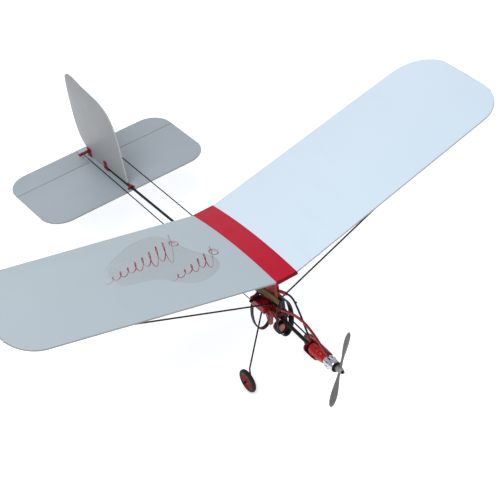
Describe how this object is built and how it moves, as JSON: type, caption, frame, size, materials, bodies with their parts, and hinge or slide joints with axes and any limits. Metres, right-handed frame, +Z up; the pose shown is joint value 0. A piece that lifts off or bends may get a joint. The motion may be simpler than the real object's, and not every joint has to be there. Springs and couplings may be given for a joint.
{
  "type": "rubber band plane",
  "caption": "Light model aeroplane with a V-shaped foam wing on a pylon held by rubber bands, carbon tail boom, foam tail, nose motor with propeller, and two wheels.",
  "frame": {"origin": "middle of the wing's leading edge, on the centre line", "axes": "+Z up in level flight, +X to the port wing tip, -Y towards the nose"},
  "size_m": [0.5016, 0.4407, 0.1966],
  "materials": {
    "wing_foam": "satin",
    "tail_foam": "satin",
    "red_plastic": "semi-gloss",
    "black_plastic": "satin",
    "carbon": "satin",
    "rubber_band": "matte",
    "servo_red": "semi-gloss",
    "steel_wire": "polished",
    "tyre_rubber": "matte",
    "hub_plastic": "satin",
    "cell_wrap": "gloss",
    "lead_red": "matte",
    "motor_red": "gloss",
    "motor_silver": "polished",
    "prop_grey": "satin"
  },
  "bodies": {
    "airframe": {"battery_cap": "black_plastic", "battery_cell": "cell_wrap", "boom_end_plug": "red_plastic", "boom_front_cap": "black_plastic", "bow_foot": "red_plastic", "bow_sleeve": "red_plastic", "bracket_screw": "steel_wire", "elevator_servo_case": "black_plastic", "front_bow": "carbon", "gear_bracket": "red_plastic", "landing_gear_wire": "steel_wire", "motor_can": "motor_silver", "motor_cradle": "red_plastic", "motor_end_plate": "black_plastic", "motor_lead_black": "black_plastic", "motor_lead_red": "lead_red", "motor_sleeve": "motor_red", "motor_stick": "carbon", "nose_arch": "red_plastic", "pod_hoop_front": "carbon", "pod_hoop_rear": "carbon", "receiver_case": "red_plastic", "rubber_bands": "rubber_band", "rudder_servo_case": "servo_red", "speed_controller": "black_plastic", "stab_clip": "red_plastic", "stabiliser": "tail_foam", "strut_foot_port": "black_plastic", "strut_foot_starboard": "black_plastic", "strut_junction": "black_plastic", "tail_boom": "carbon", "wheel_collars": "black_plastic", "wing_centre_strip": "red_plastic", "wing_panel_port": "wing_foam", "wing_panel_starboard": "wing_foam", "wing_pylon": "red_plastic", "wing_strut_port": "carbon", "wing_strut_starboard": "carbon"},
    "prop": {"prop_shaft": "steel_wire", "propeller": "prop_grey", "prop_nut": "prop_grey"},
    "wheel_port": {"wheel_hub_port": "hub_plastic", "tyre_port": "tyre_rubber"},
    "wheel_starboard": {"wheel_hub_starboard": "hub_plastic", "tyre_starboard": "tyre_rubber"},
    "rudder": {"fin": "tail_foam", "fin_clamp": "red_plastic", "rudder_pivot_pin": "steel_wire", "rudder_horn": "red_plastic"},
    "elevator": {"elevator_port": "tail_foam", "elevator_starboard": "tail_foam", "elevator_joiner": "steel_wire", "elevator_horn": "red_plastic"},
    "rudder_arm": {"rudder_servo_arm": "black_plastic"},
    "rudder_rod": {"rudder_pushrod": "steel_wire"},
    "elevator_arm": {"elevator_servo_arm": "black_plastic"},
    "elevator_rod": {"elevator_pushrod": "steel_wire"}
  },
  "joints": [
    {"name": "propeller_spin", "type": "hinge", "parent": "airframe", "child": "prop", "pos_m": [0, -0.066, -0.0625], "axis": [0, 1, 0], "continuous": true},
    {"name": "wheel_port_spin", "type": "hinge", "parent": "airframe", "child": "wheel_port", "pos_m": [0.036, 0.0315, -0.1194], "axis": [1, 0, 0], "continuous": true},
    {"name": "wheel_starboard_spin", "type": "hinge", "parent": "airframe", "child": "wheel_starboard", "pos_m": [-0.036, 0.0315, -0.1194], "axis": [1, 0, 0], "continuous": true},
    {"name": "rudder_turn", "type": "hinge", "parent": "airframe", "child": "rudder", "pos_m": [0, 0.314, -0.046], "axis": [0, 0, 1], "range_deg": [-8, 8]},
    {"name": "elevator_tilt", "type": "hinge", "parent": "airframe", "child": "elevator", "pos_m": [0, 0.3363, -0.0496], "axis": [1, 0, 0], "range_deg": [-18, 18]},
    {"name": "rudder_servo_turn", "type": "hinge", "parent": "airframe", "child": "rudder_arm", "pos_m": [-0.007, 0.04, -0.043], "axis": [0, 0, 1], "range_deg": [-10, 10]},
    {"name": "rudder_rod_yaw", "type": "hinge", "parent": "rudder_arm", "child": "rudder_rod", "pos_m": [-0.0155, 0.04, -0.042], "axis": [0, 0, 1], "range_deg": [-10, 10]},
    {"name": "elevator_servo_turn", "type": "hinge", "parent": "airframe", "child": "elevator_arm", "pos_m": [0.0068, 0.04, -0.043], "axis": [0, 0, 1], "range_deg": [-26, 26]},
    {"name": "elevator_rod_yaw", "type": "hinge", "parent": "elevator_arm", "child": "elevator_rod", "pos_m": [0.0128, 0.04, -0.042], "axis": [0, 0, 1], "range_deg": [-26, 26]}
  ],
  "couplings": [
    {"joint": "rudder_servo_turn", "follows": "rudder_turn", "ratio": 1.1294},
    {"joint": "rudder_rod_yaw", "follows": "rudder_turn", "ratio": -1.0234},
    {"joint": "elevator_servo_turn", "follows": "elevator_tilt", "ratio": -1.4},
    {"joint": "elevator_rod_yaw", "follows": "elevator_tilt", "ratio": 1.4}
  ]
}
